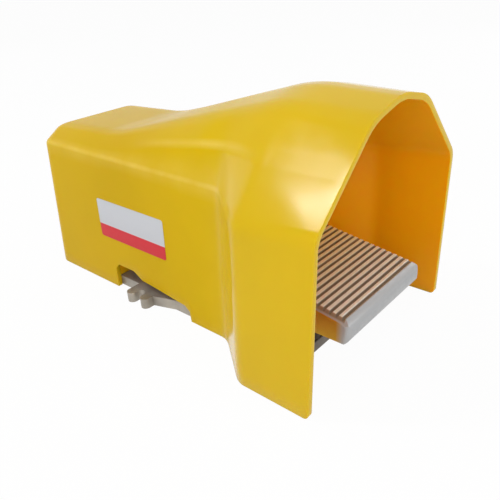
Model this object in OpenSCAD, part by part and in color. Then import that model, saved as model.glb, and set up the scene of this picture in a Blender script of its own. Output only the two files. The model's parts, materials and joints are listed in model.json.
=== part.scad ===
// Guarded pneumatic foot valve: a ribbed pedal under a moulded hood, rocking on a cast base
// and pushing the spool of a five-port valve body that stands in the guard's rear box.
// Length runs along Y with the foot opening at -Y, width along X, the floor is z = 0.

/* [Guard] */
// Overall length of the guard
guard_l = 256; // [248:1:276]
// Width across the hood at the floor
guard_w = 144; // [134:1:158]
// Height of the hood at its ridge
guard_h = 144; // [134:1:152]
// Rise of the hood's ridge above the long edges of its roof
roof_crown = 5; // [2:0.5:7]
// Fall of the roof from its crest to the mouth
mouth_fall = 1.5; // [0:0.25:3]
// Width of the rear box at the floor
box_w = 94.5; // [91:0.5:98]
// Height of the rear box's flat top
box_h = 106.5; // [100:0.5:112]
// Fall of the box's top from its front to the rear wall
roof_fall = 3; // [0:0.5:5]
// Height of the shoulder line where the side walls end
shoulder_h = 94.5; // [88:0.5:98]
// Drop of the shoulder line at the back of the hood
hood_dip = 2; // [0:0.5:6]
// Rise of the shoulder line at the hood's mouth
mouth_rise = 2; // [0:0.5:6]
// Width of the roof between its long edges at the hood
roof_w = 53; // [46:1:58]
// Width of the box's flat top between its long edges
box_top_w = 62; // [56:1:66]
// Wall thickness
wall = 3.2; // [2.4:0.1:4.2]
// Inward lean of the side walls, in mm for each mm of height
draft = 0.028; // [0.015:0.001:0.035]
// Lean of the mouth, bottom edge behind top edge
mouth_lean = 2.6; // [0:0.2:6]
// Lean of the rear wall, top edge ahead of bottom edge
rear_lean = 7; // [3:0.2:9]
// Length of the straight part of the hood
hood_l = 48; // [44:1:54]
// Length of the flare between hood and box
flare_l = 30.5; // [26:0.5:34]
// Distance from the mouth to the crest of the sloping roof
crest_l = 50; // [46:1:58]
// Length of the box's flat top from the rear
flat_top_l = 75; // [68:1:80]
// How far the neck's crease stands out of the shoulder
neck_bulge = 7.8; // [4:0.2:10]
// Rounding of the rear edges
rear_r = 11; // [7:0.5:14]
// Setback of the softened long edges
edge_soft = 5; // [2:0.5:7]
// Setback of the tighter shoulder edge along the box
shoulder_soft = 2; // [1:0.5:4]
// Setback of the softened roof edges
roof_edge_soft = 8; // [4:0.5:10]
// Softening of the flare's upright creases, each way
crease_r = 4; // [2.5:0.5:6]
// Distance from the flare's end to the neck's fullest place
neck_lead = 10; // [8:0.5:12]
// Distance from the neck's last trace to the foot of the sloping roof
neck_tail = 25; // [20:1:30]
// Length of the side notches ahead of the ears
notch_ahead = 44; // [42:0.5:46]
// Length of the side notches behind the ears
notch_behind = 29; // [26:0.5:32]
// Height of the side notches at their rear
notch_h = 18.5; // [16:0.5:21]
// Width of the hose opening in the rear wall
hose_gap_w = 68; // [60:1:72]
// Height of the hose opening in the rear wall
hose_gap_h = 60; // [54:1:66]

/* [Base] */
// Thickness of the base plate
base_t = 7; // [6:0.25:8]
// Distance of the base's front edge behind the guard's mouth
base_setback = 30; // [26:0.5:34]
// Gap between the base's edge and the guard's wall
base_gap = 0.5; // [0.3:0.1:1.2]
// Reach of the forked ears beyond the guard's wall
ear_reach = 8.5; // [8:0.5:11]
// Width of the slot in a forked ear
ear_slot_w = 6.4; // [5.5:0.1:7]
// Width of each prong beside the slot
prong_w = 7; // [5.5:0.25:8]
// Distance from the pedal's pivot to the ears
ear_from_pivot = 66; // [64:0.5:68]

/* [Pedal] */
// Gap between each side of the pedal and the guard's wall, at the floor
pedal_gap = 5.55; // [5.3:0.05:8]
// Distance of the nose behind the guard's mouth
nose_setback = 0.6; // [0.4:0.1:4]
// Distance from the nose to the pivot
pedal_reach = 86; // [82:1:90]
// Height of the rib tops above the floor at the nose
tread_front_h = 39.2; // [37:0.1:41]
// Slope of the tread in degrees, rising to the rear
tread_slope = 8.2; // [6:0.1:9]
// Thickness of the tread plate with its ribs
tread_t = 5; // [4:0.25:6]
// Distance between ribs
rib_pitch = 3.77; // [3.4:0.01:4.4]
// Width of the groove between two ribs at its top
groove_w = 2.1; // [1.4:0.1:2.6]
// Depth of the groove between two ribs
groove_depth = 1.5; // [0.8:0.1:2]
// Setback of the softened long edges of the tread
tread_edge = 3; // [1:0.25:3]
// Height of the skirt's lower edge above the floor
skirt_h = 24.5; // [23:0.25:26]
// Thickness of the skirt
skirt_t = 3; // [2.4:0.1:3.6]
// Rounding of the nose's corners seen from above
nose_corner_r = 4; // [3:0.5:7]
// Radius of the nose seen from the side
nose_r = 8; // [7:0.25:10]
// Distance from the pivot to the return spring
spring_reach = 40; // [36:1:42]
// Distance from the pivot to the stop buffers
buffer_reach = 50; // [48:1:52]
// Height of the pivot above the floor
pivot_h = 36; // [34:0.5:37]
// Diameter of the pivot pin
pin_d = 8; // [7:0.25:9]

/* [Valve] */
// Width of the valve body
body_w = 66; // [64:1:68]
// Length of the valve body
body_l = 84; // [82:1:88]
// Height of the valve body
body_h = 47; // [45:0.5:49]
// Diameter of the spool bore
bore_d = 16; // [15:0.25:17]
// Height of the spool's axis above the base plate
spool_rise = 12; // [11.5:0.25:13]
// Bore of the ports before threading
port_d = 11.45; // [9:0.05:12]
// Depth of the ports
port_depth = 13; // [11:0.5:14]
// Diameter of the flat seat milled round a port's mouth
port_seat_d = 16; // [15:0.25:16.5]
// Depth of the shallowest seat
port_seat_depth = 0.8; // [0.6:0.1:1.2]
// Step from one seat to the next deeper one
port_seat_step = 0.8; // [0.6:0.1:1]
// Sideways distance between the upper ports
port_pitch = 21; // [20:0.25:22]
// Sideways distance of the lower ports from the middle
low_port_x = 23.5; // [22.75:0.25:24]
// Upright distance between the two rows of ports
port_rows = 22; // [21:0.5:23]
// Diameter of the push rod
rod_d = 8; // [7:0.25:9]
// Diameter of the roller on the pedal's arm
roller_d = 12; // [11:0.5:13]

/* [Clearances] */
// Running clearance of shafts, all round
run_fit = 0.05; // [0.03:0.01:0.08]
// Seated clearance of pressed and threaded pieces, all round
seat_fit = 0.02; // [0.01:0.01:0.04]
// Gap between pieces that meet as they move
touch_gap = 0.3; // [0.2:0.05:0.4]

/* [Hidden] */
$fn = 48;
cut = 1;

// Stations along the length
y_mouth = -guard_l / 2;
y_rear = guard_l / 2;
y_hood = y_mouth + hood_l;
y_box = y_hood + flare_l;
y_crest = y_mouth + crest_l;
y_foot = y_rear - flat_top_l;
roof_soft = 12;
neck_soft = 7;
y_bulge = y_box + neck_lead;
y_bulge_end = y_foot - neck_tail;
neck_split = 0.55;
ridge_w = 8;

// Average of a straight-line table over a short span, which rounds the table's corners
function soft(y, table, r) = let (n = 8) sum([for (i = [0:n]) lookup(y + r * (2 * i / n - 1), table)]) / (n + 1);
function sum(list, i = 0) = i < len(list) ? list[i] + sum(list, i + 1) : 0;
function unit(v) = v / norm(v);
function mix(a, b, t) = a + (b - a) * t;

// Corner points of the guard's cross-section at a station, moved inwards by an inset
function floor_x(y) = soft(y, [[y_hood, guard_w / 2], [y_box, box_w / 2]], crease_r);
function shoulder_z(y) =
    soft(y, [[y_mouth, shoulder_h + mouth_rise], [y_hood, shoulder_h - hood_dip], [y_box, shoulder_h]], crease_r);
function roof_z(y) =
    let (edge_h = guard_h - roof_crown)
    soft(y, [[y_mouth, edge_h - mouth_fall], [y_crest, edge_h], [y_foot, box_h], [y_rear, box_h - roof_fall]], roof_soft);
function roof_half(y) = soft(y, [[y_crest, roof_w / 2], [y_foot, box_top_w / 2]], roof_soft);
function crown(y) = soft(y, [[y_crest, roof_crown], [y_foot, 0]], roof_soft);
function shoulder(y, inset) =
    [floor_x(y) - draft * shoulder_z(y) - inset, shoulder_z(y) - 0.41 * inset];
function roof_edge(y, inset) = [roof_half(y) - 0.41 * inset, roof_z(y) - inset];
function ridge(y, inset) = [ridge_w / 2, roof_z(y) + crown(y) - inset];
function bulge(y) = soft(y, [[y_hood, 0], [y_bulge, neck_bulge], [y_bulge_end, 0]], neck_soft);
function neck(y, inset) =
    let (a = shoulder(y, inset), b = roof_edge(y, inset), d = unit(b - a))
    mix(a, b, neck_split) + bulge(y) * [d[1], -d[0]];

// A corner of the section turned into a short curve between points set back along its two edges
function soft_corner(a, b, c, s) =
    let (p = b + unit(a - b) * min(s, norm(a - b) / 2.2), q = b + unit(c - b) * min(s, norm(c - b) / 2.2))
    [for (t = [0:0.25:1]) p * (1 - t) * (1 - t) + b * 2 * t * (1 - t) + q * t * t];

// Right half of the section from the floor to the roof, then the whole section as points in space
function half_section(y, inset, low) =
    let (foot = [floor_x(y) - inset, low], a = shoulder(y, inset), b = neck(y, inset), c = roof_edge(y, inset),
         top = ridge(y, inset), s = lookup(y, [[y_hood, edge_soft], [y_box, shoulder_soft]]))
    concat([foot], soft_corner(foot, a, b, s), soft_corner(a, b, c, edge_soft),
           soft_corner(b, c, top, roof_edge_soft), [top]);
function lean(z, y) =
    mouth_lean * (1 - z / guard_h) * lookup(y, [[y_mouth, 1], [y_hood, 0]])
    - rear_lean * (z / box_h) * lookup(y, [[y_foot, 0], [y_rear - rear_r, 1]]);
function section(y, inset, low, y_place) =
    let (h = half_section(y, inset, low), n = len(h))
    concat([for (p = h) [-p[0], y_place + lean(p[1], y), p[1]]],
           [for (i = [n - 1:-1:0]) [h[i][0], y_place + lean(h[i][1], y), h[i][1]]]);

// Stations of the loft: spans between the guard's key places, with the steps that each span needs
span_ends = [y_mouth, y_hood - crease_r, y_hood + crease_r, y_box - crease_r, y_box + crease_r,
             y_foot - roof_soft, y_foot + roof_soft, y_rear - rear_r];
span_steps = [4, 4, 3, 5, 10, 4, 2];
stations = concat([for (k = [0:len(span_steps) - 1], i = [0:span_steps[k] - 1])
                   mix(span_ends[k], span_ends[k + 1], i / span_steps[k])], [y_rear - rear_r]);
round_steps = 5;

// Closed skin through rings of equal length; each flat end is a fan round the middle of its ring
module loft(rings) {
    n = len(rings[0]);
    m = len(rings);
    sides = [for (i = [0:m - 2], j = [0:n - 1])
             each [[i * n + j, (i + 1) * n + j, i * n + (j + 1) % n],
                   [(i + 1) * n + j, (i + 1) * n + (j + 1) % n, i * n + (j + 1) % n]]];
    near_end = [for (j = [0:n - 1]) [j, (j + 1) % n, m * n]];
    far_end = [for (j = [0:n - 1]) [(m - 1) * n + (j + 1) % n, (m - 1) * n + j, m * n + 1]];
    polyhedron([for (r = rings) each r, middle(rings[0]), middle(rings[m - 1])], concat(sides, near_end, far_end));
}
function middle(ring) = [for (k = [0:2]) sum([for (p = ring) p[k]]) / len(ring)];

// Body of the guard's outer or inner skin: the stations, then the rounding at the rear wall
module guard_skin(inset, low, ahead) {
    r = rear_r - inset;
    y_turn = y_rear - rear_r;
    rings = [for (y = stations) section(y, inset, low, y == y_mouth ? y - ahead : y)];
    turn = [for (i = [1:round_steps]) let (a = 90 * i / round_steps)
            section(y_turn, inset + r * (1 - cos(a)), low, y_turn + r * sin(a))];
    loft(concat(rings, turn));
}

// Inner face of the guard's side wall in the box at a height
function inner_x(z) = box_w / 2 - draft * z - wall;

// Places shared by the pedal, base and valve
pedal_w = box_w - 2 * (wall + pedal_gap);
pedal_tail = 9;
rod_run = 22;
nose_y = y_mouth + nose_setback;
pivot_y = nose_y + pedal_reach;
tread_run = tan(tread_slope);
function tread_z(y) = tread_front_h + (y - nose_y - nose_r) * tread_run;
pedal_rear = pivot_y + pedal_tail;
spool_z = base_t + spool_rise;
arm_l = pivot_h - spool_z;
roller_y = pivot_y;
rod_front = roller_y + roller_d / 2 + touch_gap;
body_y = rod_front + rod_run;
body_rear = body_y + body_l;
body_top = base_t + body_h;
ear_y = pivot_y + ear_from_pivot;
base_w = box_w - 2 * (wall + base_gap);
base_front = y_mouth + base_setback;
base_rear = y_rear - rear_r - wall - base_gap;

// Pivot parts across the width
lug_t = 8;
lug_gap = 3.3;
lug_r = 7.5;
bush_d = pin_d + 3;
bush_flange_t = 1.2;
lug_out = pedal_w / 2 - 2 * skirt_t - lug_gap - bush_flange_t;
lug_in = lug_out - lug_t;
bush_flange_d = bush_d + 3;
clip_t = 0.8;
clip_groove = 0.8;
clip_rim = 2.5;
clip_d = pin_d + 2 * clip_rim;
pin_end = 1;
pin_half = pedal_w / 2 + touch_gap + clip_t + pin_end;
pivot_boss_r = 9;

// Spring, buffers and their seats on the base
spring_y = pivot_y - spring_reach;
spring_d = 20;
spring_wire = 2;
spring_post_h = 7;
buffer_d = 10;
buffer_x = 22;
buffer_y = pivot_y - buffer_reach;
buffer_h = 8;
press_angle = 12;
function pressed_z(y, z) = pivot_h + (y - pivot_y) * sin(press_angle) + (z - pivot_h) * cos(press_angle);
tread_under = tread_t / cos(tread_slope);
buffer_top = pressed_z(buffer_y - buffer_d / 2, tread_z(buffer_y - buffer_d / 2) - tread_under) - touch_gap;
buffer_post_h = buffer_top - buffer_h - base_t;

// Roller arm under the pedal
arm_gap = 8;
arm_cheek = 4;
arm_half = arm_gap / 2 + arm_cheek;
arm_r = 4.8;
roller_pin_d = 4;

// Screws
guard_screw_d = 4;
guard_head_d = 7;
guard_head_h = 2.6;
guard_screw_l = 16;
boss_w = 8.4;
boss_h = 26;
notch_front = ear_y - notch_ahead;
notch_rear = ear_y + notch_behind;
boss_ahead = 1;
boss_inset = 14;
boss_ys = [notch_front - boss_ahead - boss_w / 2, y_rear - rear_r - boss_inset];
boss_x = inner_x(base_t + boss_h) - boss_w / 2 + 0.5;
body_screw_d = 5;
body_head_d = 8.5;
body_head_h = 4;
body_screw_l = 8;
body_screw_edge = 8;
body_screw_x = body_w / 2 - body_screw_edge;
body_screw_inset = 10;
cap_screw_d = 3;
cap_head_d = 5.5;
cap_head_h = 3;
cap_screw_l = 10;
screw_end_gap = 0.5;

// Caps and plug of the spool bore
cap_w = 34;
cap_h = 22;
cap_t = 6;
cap_spigot = 5;
cap_screw_edge = 4.5;
cap_screw_x = cap_w / 2 - cap_screw_edge;
cap_screw_z = cap_h / 2 - cap_screw_edge;
wiper_t = 3;
wiper_lip = 3;
wiper_d = rod_d + 2 * wiper_lip;
plug_t = 4;
plug_rim = 2;
plug_d = bore_d + 2 * plug_rim;
plug_spigot = 8;
plug_socket_d = 9;
plug_socket_depth = 2;
plug_seal_w = 1.6;
seal_w = 2;
spring_space = 14;
spool_gap = 2.5;
spool_front = body_y + cap_spigot + spool_gap;
plug_face = body_rear - plug_spigot;
spool_rear = plug_face - spring_space;
spool_l = spool_rear - spool_front;
seal_count = 6;

// Rectangle with round corners, as true arcs
module round_rect(w, l, r) {
    square([w - 2 * r, l], center = true);
    square([w, l - 2 * r], center = true);
    for (x = [-1, 1], y = [-1, 1]) translate([x * (w / 2 - r), y * (l / 2 - r)]) circle(r);
}

// Cylinder lying along X or along Y
module rod_x(d, l) { rotate([0, 90, 0]) cylinder(d = d, h = l, center = true); }
module rod_y(d, l) { rotate([-90, 0, 0]) cylinder(d = d, h = l); }

// Coil spring standing on z = 0, as a tube swept along a helix with flattened end turns
module coil(d, wire, height, turns) {
    sides = 8;
    steps = 14;
    n = turns * steps;
    rise = height - wire;
    function climb(i) = wire / 2 + rise * max(0, min(1, (i / steps - 0.75) / (turns - 1.5)));
    rings = [for (i = [0:n]) let (a = 360 * i / steps)
             [for (k = [0:sides - 1]) let (b = -360 * k / sides, q = (d - wire) / 2 + wire / 2 * cos(b))
              [q * cos(a), q * sin(a), climb(i) + wire / 2 * sin(b)]]];
    loft(rings);
}

// Moulded guard: lofted shell with side notches for the ears, a hose opening and screw bosses
module guard() color("gold") {
    mouth_corner_r = 3;
    difference() {
        union() {
            difference() {
                guard_skin(0, 0, 0);
                guard_skin(wall, -cut, cut);
            }
            for (s = [-1, 1], y = boss_ys) guard_boss(s, y);
            for (s = [-1, 1]) notch_return(s);
        }
        notch(notch_front, notch_rear);
        translate([0, y_rear + cut, 0]) rotate([90, 0, 0]) linear_extrude(rear_r + rear_lean + wall) hose_gap();
        for (s = [-1, 1], y = boss_ys)
            translate([s * boss_x, y, -cut]) cylinder(d = guard_screw_d + 2 * seat_fit, h = base_t + guard_screw_l);
        mouth_corners(mouth_corner_r);
    }
}

// Column inside the side wall that a screw from below bites into
module guard_boss(side, y) {
    translate([side * boss_x - boss_w / 2, y - boss_w / 2, base_t]) cube([boss_w, boss_w, boss_h]);
}

// Short wall that closes the rear end of a notch inwards, above the base
module notch_return(side) {
    depth = 9;
    low = base_t + touch_gap;
    translate([side > 0 ? inner_x(0) - depth : -inner_x(0) - wall / 2, notch_rear + touch_gap, low])
        cube([depth + wall / 2, wall, notch_h + wall - low]);
}

// Stepped notch in both lower walls, taller at the rear
module notch(front, rear) {
    low = notch_h * 0.54;
    mid = notch_h * 0.76;
    high = notch_h;
    tall_l = 20;
    ramp_l = 8;
    heel = 4;
    toe_l = 5;
    toe_h = 3;
    rise = rear - tall_l;
    rotate([90, 0, 90])
        linear_extrude(box_w + 2 * cut, center = true)
            polygon([[front, -cut], [front + 1, low - toe_h], [front + toe_l, low], [mix(front, rear, 0.45), mid - 1],
                     [rise - ramp_l, mid], [rise, high], [rear - heel, high], [rear, high - heel], [rear, -cut]]);
}

// Arched opening for the hoses
module hose_gap() {
    r = 14;
    translate([-hose_gap_w / 2, -cut]) square([hose_gap_w, hose_gap_h - r + cut]);
    translate([-hose_gap_w / 2 + r, -cut]) square([hose_gap_w - 2 * r, hose_gap_h + cut]);
    for (s = [-1, 1]) translate([s * (hose_gap_w / 2 - r), hose_gap_h - r]) circle(r);
}

// Rounding of the mouth's lower corners
module mouth_corners(r) {
    y = y_mouth + mouth_lean;
    rotate([90, 0, 90])
        linear_extrude(guard_w + 2 * cut, center = true)
            difference() {
                translate([y - mouth_lean - cut, -cut]) square([r + mouth_lean + cut, r + cut]);
                translate([y + r, r]) circle(r);
            }
}

// Cast base: plate, forked ears, pivot lugs, spring post, buffer posts and rest stops for the arm
module base() color("silver") {
    ear_l = ear_slot_w + 2 * prong_w;
    ear_x = box_w / 2 + ear_reach;
    plate_l = base_rear - base_front;
    stop_t = 4;
    plate_corner = 6;
    stop_y = pivot_y - arm_r - touch_gap - stop_t;
    difference() {
        union() {
            translate([0, base_front + plate_l / 2, 0]) linear_extrude(base_t) round_rect(base_w, plate_l, plate_corner);
            translate([0, ear_y, 0]) linear_extrude(base_t) ears(ear_x, ear_l);
            for (s = [-1, 1]) lug(s);
            translate([0, spring_y, base_t - cut]) cylinder(d = spring_d - 2 * spring_wire - 1, h = spring_post_h + cut);
            for (s = [-1, 1])
                translate([s * buffer_x, buffer_y, base_t - cut]) cylinder(d = buffer_d + 3, h = buffer_post_h + cut);
            for (s = [-1, 1])
                translate([s * (arm_gap + arm_cheek) / 2 - arm_cheek / 2, stop_y, base_t - cut])
                    cube([arm_cheek, stop_t, spool_rise + cut]);
        }
        for (s = [-1, 1]) {
            translate([s * (lug_in + lug_t / 2), pivot_y, pivot_h]) rod_x(bush_d + 2 * seat_fit, lug_t + 2 * cut);
            translate([s * (box_w / 2 + 3.4), ear_y, -cut]) ear_slot(s);
        }
        underside_pockets();
        for (s = [-1, 1], y = boss_ys) screw_seat(s * boss_x, y, guard_screw_d, guard_head_d, guard_head_h);
        for (s = [-1, 1], y = [body_y + body_screw_inset, body_rear - body_screw_inset])
            screw_seat(s * body_screw_x, y, body_screw_d, body_head_d, body_head_h);
    }
}

// Cells cast into the underside, with ribs left between them and full thickness round the screws
module underside_pockets() {
    depth = base_t * 0.5;
    rim = 6;
    rib = 4;
    fronts = [base_front + rim, body_rear + rim];
    rears = [boss_ys[0] - boss_w, boss_ys[1] - boss_w];
    cells = 4;
    cell_w = (base_w - 2 * rim - (cells - 1) * rib) / cells;
    for (k = [0, 1], i = [0:cells - 1])
        let (l = rears[k] - fronts[k], x = (i - (cells - 1) / 2) * (cell_w + rib))
            translate([x, fronts[k] + l / 2, -cut]) linear_extrude(depth + cut) round_rect(cell_w, l, 3);
}

// Outline of the two forked ears, each with round prong ends and a slanted front root
module ears(reach, l) {
    root_l = 16;
    for (s = [-1, 1]) scale([s, 1]) {
        translate([0, -l / 2]) square([reach - prong_w / 2, l]);
        for (e = [-1, 1]) translate([reach - prong_w / 2, e * (l - prong_w) / 2]) circle(d = prong_w);
        polygon([[0, -l / 2], [reach - prong_w, -l / 2], [base_w / 2, -l / 2 - root_l], [0, -l / 2 - root_l]]);
    }
}

// Open slot in an ear, with a round inner end
module ear_slot(side) {
    cylinder(d = ear_slot_w, h = base_t + 2 * cut);
    translate([side > 0 ? 0 : -ear_reach - cut, -ear_slot_w / 2, 0]) cube([ear_reach + cut, ear_slot_w, base_t + 2 * cut]);
}

// Upright lug that carries a pivot bush
module lug(side) {
    foot = 26;
    translate([side > 0 ? lug_in : -lug_out, 0, 0])
        rotate([90, 0, 90])
            linear_extrude(lug_t) {
                translate([pivot_y, pivot_h]) circle(lug_r);
                polygon([[pivot_y - foot / 2, base_t - cut], [pivot_y + foot / 2, base_t - cut],
                         [pivot_y + lug_r, pivot_h], [pivot_y - lug_r, pivot_h]]);
            }
}

// Hole for a screw from below, with a flat seat for its head
module screw_seat(x, y, d, head_d, head_h) {
    translate([x, y, -cut]) cylinder(d = d + 2 * seat_fit, h = base_t + 2 * cut);
    translate([x, y, -cut]) cylinder(d = head_d + 2 * seat_fit, h = head_h + cut);
}

// Cast pedal: ribbed tread with a rounded nose, skirts, pivot bosses and the roller arm
module pedal() color("lightgray") {
    inner_w = pedal_w - 2 * skirt_t;
    difference() {
        union() {
            difference() {
                intersection() {
                    rotate([90, 0, 90]) linear_extrude(pedal_w, center = true) pedal_side();
                    pedal_plan();
                }
                grooves();
                for (s = [-1, 1]) long_edge(s);
            }
            for (s = [-1, 1])
                translate([s * (pedal_w / 2 - skirt_t), pivot_y, pivot_h]) rod_x(2 * pivot_boss_r, 2 * skirt_t);
            roller_arm();
        }
        difference() {
            pedal_hollow(inner_w);
            tread_ribs();
            spring_seat();
        }
        translate([0, pivot_y, pivot_h]) rod_x(pin_d + 2 * seat_fit, pedal_w + 2 * cut);
        translate([0, roller_y, spool_z]) rod_x(roller_pin_d + 2 * seat_fit, 2 * arm_half + cut);
    }
}

// Side outline of the pedal with its bull nose, cut level at the skirt's lower edge
module pedal_side() {
    nose_z = tread_front_h - nose_r;
    polygon([[nose_y + nose_r, tread_front_h], [pedal_rear, tread_z(pedal_rear)], [pedal_rear, skirt_h],
             [nose_y + nose_r, skirt_h]]);
    intersection() {
        translate([nose_y + nose_r, nose_z]) circle(nose_r);
        translate([nose_y, skirt_h]) square(2 * nose_r);
    }
}

// Outline of the pedal seen from above, as a tall block
module pedal_plan() {
    l = pedal_rear - nose_y;
    linear_extrude(guard_h)
        translate([0, nose_y]) {
            translate([-pedal_w / 2, nose_corner_r]) square([pedal_w, l - nose_corner_r]);
            translate([-pedal_w / 2 + nose_corner_r, 0]) square([pedal_w - 2 * nose_corner_r, l]);
            for (s = [-1, 1]) translate([s * (pedal_w / 2 - nose_corner_r), nose_corner_r]) circle(nose_corner_r);
        }
}

// Grooves across the tread that leave the anti-slip ribs standing
module grooves() {
    first = nose_y + nose_r * 2 / 3;
    count = floor((pedal_rear - first - groove_w) / rib_pitch);
    floor_w = groove_w * 0.45;
    for (i = [0:count])
        let (y = first + i * rib_pitch)
            translate([0, y, tread_z(y)])
                rotate([tread_slope, 0, 0])
                    rotate([90, 0, 90])
                        linear_extrude(pedal_w + 2 * cut, center = true)
                            polygon([[-groove_w / 2, cut], [-groove_w / 2, 0], [-floor_w / 2, -groove_depth],
                                     [floor_w / 2, -groove_depth], [groove_w / 2, 0], [groove_w / 2, cut]]);
}

// Bevel along one long edge of the tread
module long_edge(side) {
    l = pedal_rear - nose_y;
    translate([side * pedal_w / 2, nose_y + nose_r, tread_front_h])
        rotate([tread_slope, 0, 0])
            rotate([0, 45, 0])
                translate([-tread_edge / sqrt(2), -l, -tread_edge / sqrt(2)])
                    cube([tread_edge * sqrt(2), 3 * l, tread_edge * sqrt(2)]);
}

// Space under the tread, left open below and to the rear, with the arm and bosses kept
module pedal_hollow(w) {
    front = nose_y + nose_r;
    difference() {
        rotate([90, 0, 90])
            linear_extrude(w, center = true)
                polygon([[front, -cut], [pedal_rear + cut, -cut],
                         [pedal_rear + cut, tread_z(pedal_rear + cut) - tread_under],
                         [front, tread_z(front) - tread_under]]);
        roller_arm();
        for (s = [-1, 1])
            translate([s * (pedal_w / 2 - skirt_t), pivot_y, pivot_h]) rod_x(2 * pivot_boss_r, 2 * skirt_t);
    }
}

// Stiffening ribs along the underside of the tread, either side of the return spring
module tread_ribs() {
    rib_t = 2.4;
    rib_x = spring_d / 2 + 2.5 + rib_t / 2;
    drop = 6;
    front = nose_y + nose_r;
    rear = pivot_y - pivot_boss_r;
    for (s = [-1, 1])
        translate([s * rib_x, 0, 0])
            rotate([90, 0, 90])
                linear_extrude(rib_t, center = true)
                    polygon([[front - cut, tread_z(front)], [front - cut, tread_z(front) - tread_under - drop],
                             [rear, tread_z(rear) - tread_under - cut], [rear, tread_z(rear)]]);
}

// Flat seat under the tread for the upper end of the return spring
module spring_seat() {
    translate([0, spring_y, spring_top()]) cylinder(d = spring_d + 3, h = tread_z(spring_y) - spring_top());
}
function spring_top() = tread_z(spring_y - spring_d / 2 - 2) - tread_under;

// Two cheeks that hang from the tread and hold the roller
module roller_arm() {
    for (s = [-1, 1])
        translate([s * (arm_gap + arm_cheek) / 2, 0, 0])
            rotate([90, 0, 90])
                linear_extrude(arm_cheek, center = true) {
                    translate([roller_y, spool_z]) circle(arm_r);
                    polygon([[roller_y - arm_r, spool_z], [roller_y + arm_r, spool_z],
                             [pedal_rear, tread_z(pedal_rear) - tread_under / 2],
                             [roller_y - arm_r, tread_z(roller_y - arm_r) - tread_under / 2]]);
                }
}

// Pivot pin with a clip groove at each end
module pivot_pin() color("dimgray")
    translate([0, pivot_y, pivot_h])
        difference() {
            rod_x(pin_d, 2 * pin_half);
            for (s = [-1, 1])
                translate([s * (pin_half - pin_end - clip_t / 2), 0, 0])
                    difference() {
                        rod_x(pin_d + cut, clip_t);
                        rod_x(pin_d - 2 * clip_groove, clip_t);
                    }
        }

// Flanged bushes in the lugs
module pivot_bushes() color("peru")
    for (s = [-1, 1])
        translate([0, pivot_y, pivot_h])
            difference() {
                union() {
                    translate([s * (lug_in + lug_t / 2), 0, 0]) rod_x(bush_d, lug_t);
                    translate([s * (lug_out + bush_flange_t / 2), 0, 0]) rod_x(bush_flange_d, bush_flange_t);
                }
                translate([s * (lug_in + lug_t / 2), 0, 0]) rod_x(pin_d + 2 * run_fit, 2 * lug_t);
            }

// Open retaining clips on the ends of the pivot pin
module pin_clips() color("slategray")
    for (s = [-1, 1])
        translate([s * (pin_half - pin_end - clip_t / 2), pivot_y, pivot_h])
            difference() {
                rod_x(clip_d, clip_t - 2 * seat_fit);
                rod_x(pin_d - 2 * clip_groove + 2 * seat_fit, 2 * clip_t);
                translate([0, 0, -pin_d]) cube([2 * clip_t, pin_d * 0.55, 2 * pin_d], center = true);
            }

// Compression spring between base and tread
module pedal_spring() color("gainsboro")
    translate([0, spring_y, base_t]) coil(spring_d, spring_wire, spring_top() - base_t - touch_gap, 6);

// Rubber buffers on the base posts that end the pedal's travel
module stop_buffers() color("darkslategray")
    for (s = [-1, 1])
        translate([s * buffer_x, buffer_y, base_t + buffer_post_h]) {
            cylinder(d = buffer_d, h = buffer_h - buffer_d / 5);
            translate([0, 0, buffer_h - buffer_d / 5]) cylinder(d1 = buffer_d, d2 = buffer_d * 0.7, h = buffer_d / 5);
        }

// Steel roller that bears on the push rod
module roller() color("gray")
    translate([0, roller_y, spool_z])
        difference() {
            rod_x(roller_d, arm_gap - 2 * touch_gap);
            rod_x(roller_pin_d + 2 * run_fit, arm_gap);
        }

// Pin through the arm's cheeks
module roller_pin() color("dimgray")
    translate([0, roller_y, spool_z]) rod_x(roller_pin_d, 2 * arm_half);

// Hardened push rod between roller and spool
module push_rod() color("dimgray")
    translate([0, rod_front, spool_z]) rod_y(rod_d, spool_front - rod_front);

// Front cap that guides the push rod
module front_cap() color("darkgray")
    difference() {
        union() {
            translate([0, body_y, spool_z + cap_rise()])
                rotate([90, 0, 0]) linear_extrude(cap_t) round_rect(cap_w, cap_h, 3);
            translate([0, body_y - cut, spool_z]) rod_y(bore_d - 2 * seat_fit, cap_spigot + cut);
        }
        translate([0, body_y - cap_t - cut, spool_z]) rod_y(rod_d + 2 * run_fit, cap_t + cap_spigot + 2 * cut);
        translate([0, body_y - cap_t - cut, spool_z]) rod_y(wiper_d + 2 * seat_fit, wiper_t + cut);
        for (x = [-1, 1], z = [-1, 1])
            translate([x * cap_screw_x, body_y - cap_t - cut, spool_z + cap_rise() + z * cap_screw_z])
                rod_y(cap_screw_d + 2 * seat_fit, cap_t + 2 * cut);
    }

// Height of the cap's middle above the spool's axis, which keeps the cap clear of the base
function cap_rise() = max(0, cap_h / 2 + 0.5 - spool_rise);

// Screws of the front cap
module cap_screws() color("dimgray")
    for (x = [-1, 1], z = [-1, 1])
        translate([x * cap_screw_x, body_y - cap_t, spool_z + cap_rise() + z * cap_screw_z]) {
            rod_y(cap_screw_d, cap_screw_l);
            difference() {
                translate([0, -cap_head_h, 0]) rod_y(cap_head_d, cap_head_h);
                translate([0, -cap_head_h - cut, 0]) rotate([-90, 0, 0]) cylinder(d = cap_screw_d, h = 1.5 + cut, $fn = 6);
            }
        }

// Wiper ring round the push rod
module rod_wiper() color("black")
    translate([0, body_y - cap_t, spool_z])
        difference() {
            rod_y(wiper_d, wiper_t);
            translate([0, -cut, 0]) rod_y(rod_d + 2 * run_fit, wiper_t + 2 * cut);
        }

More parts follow.
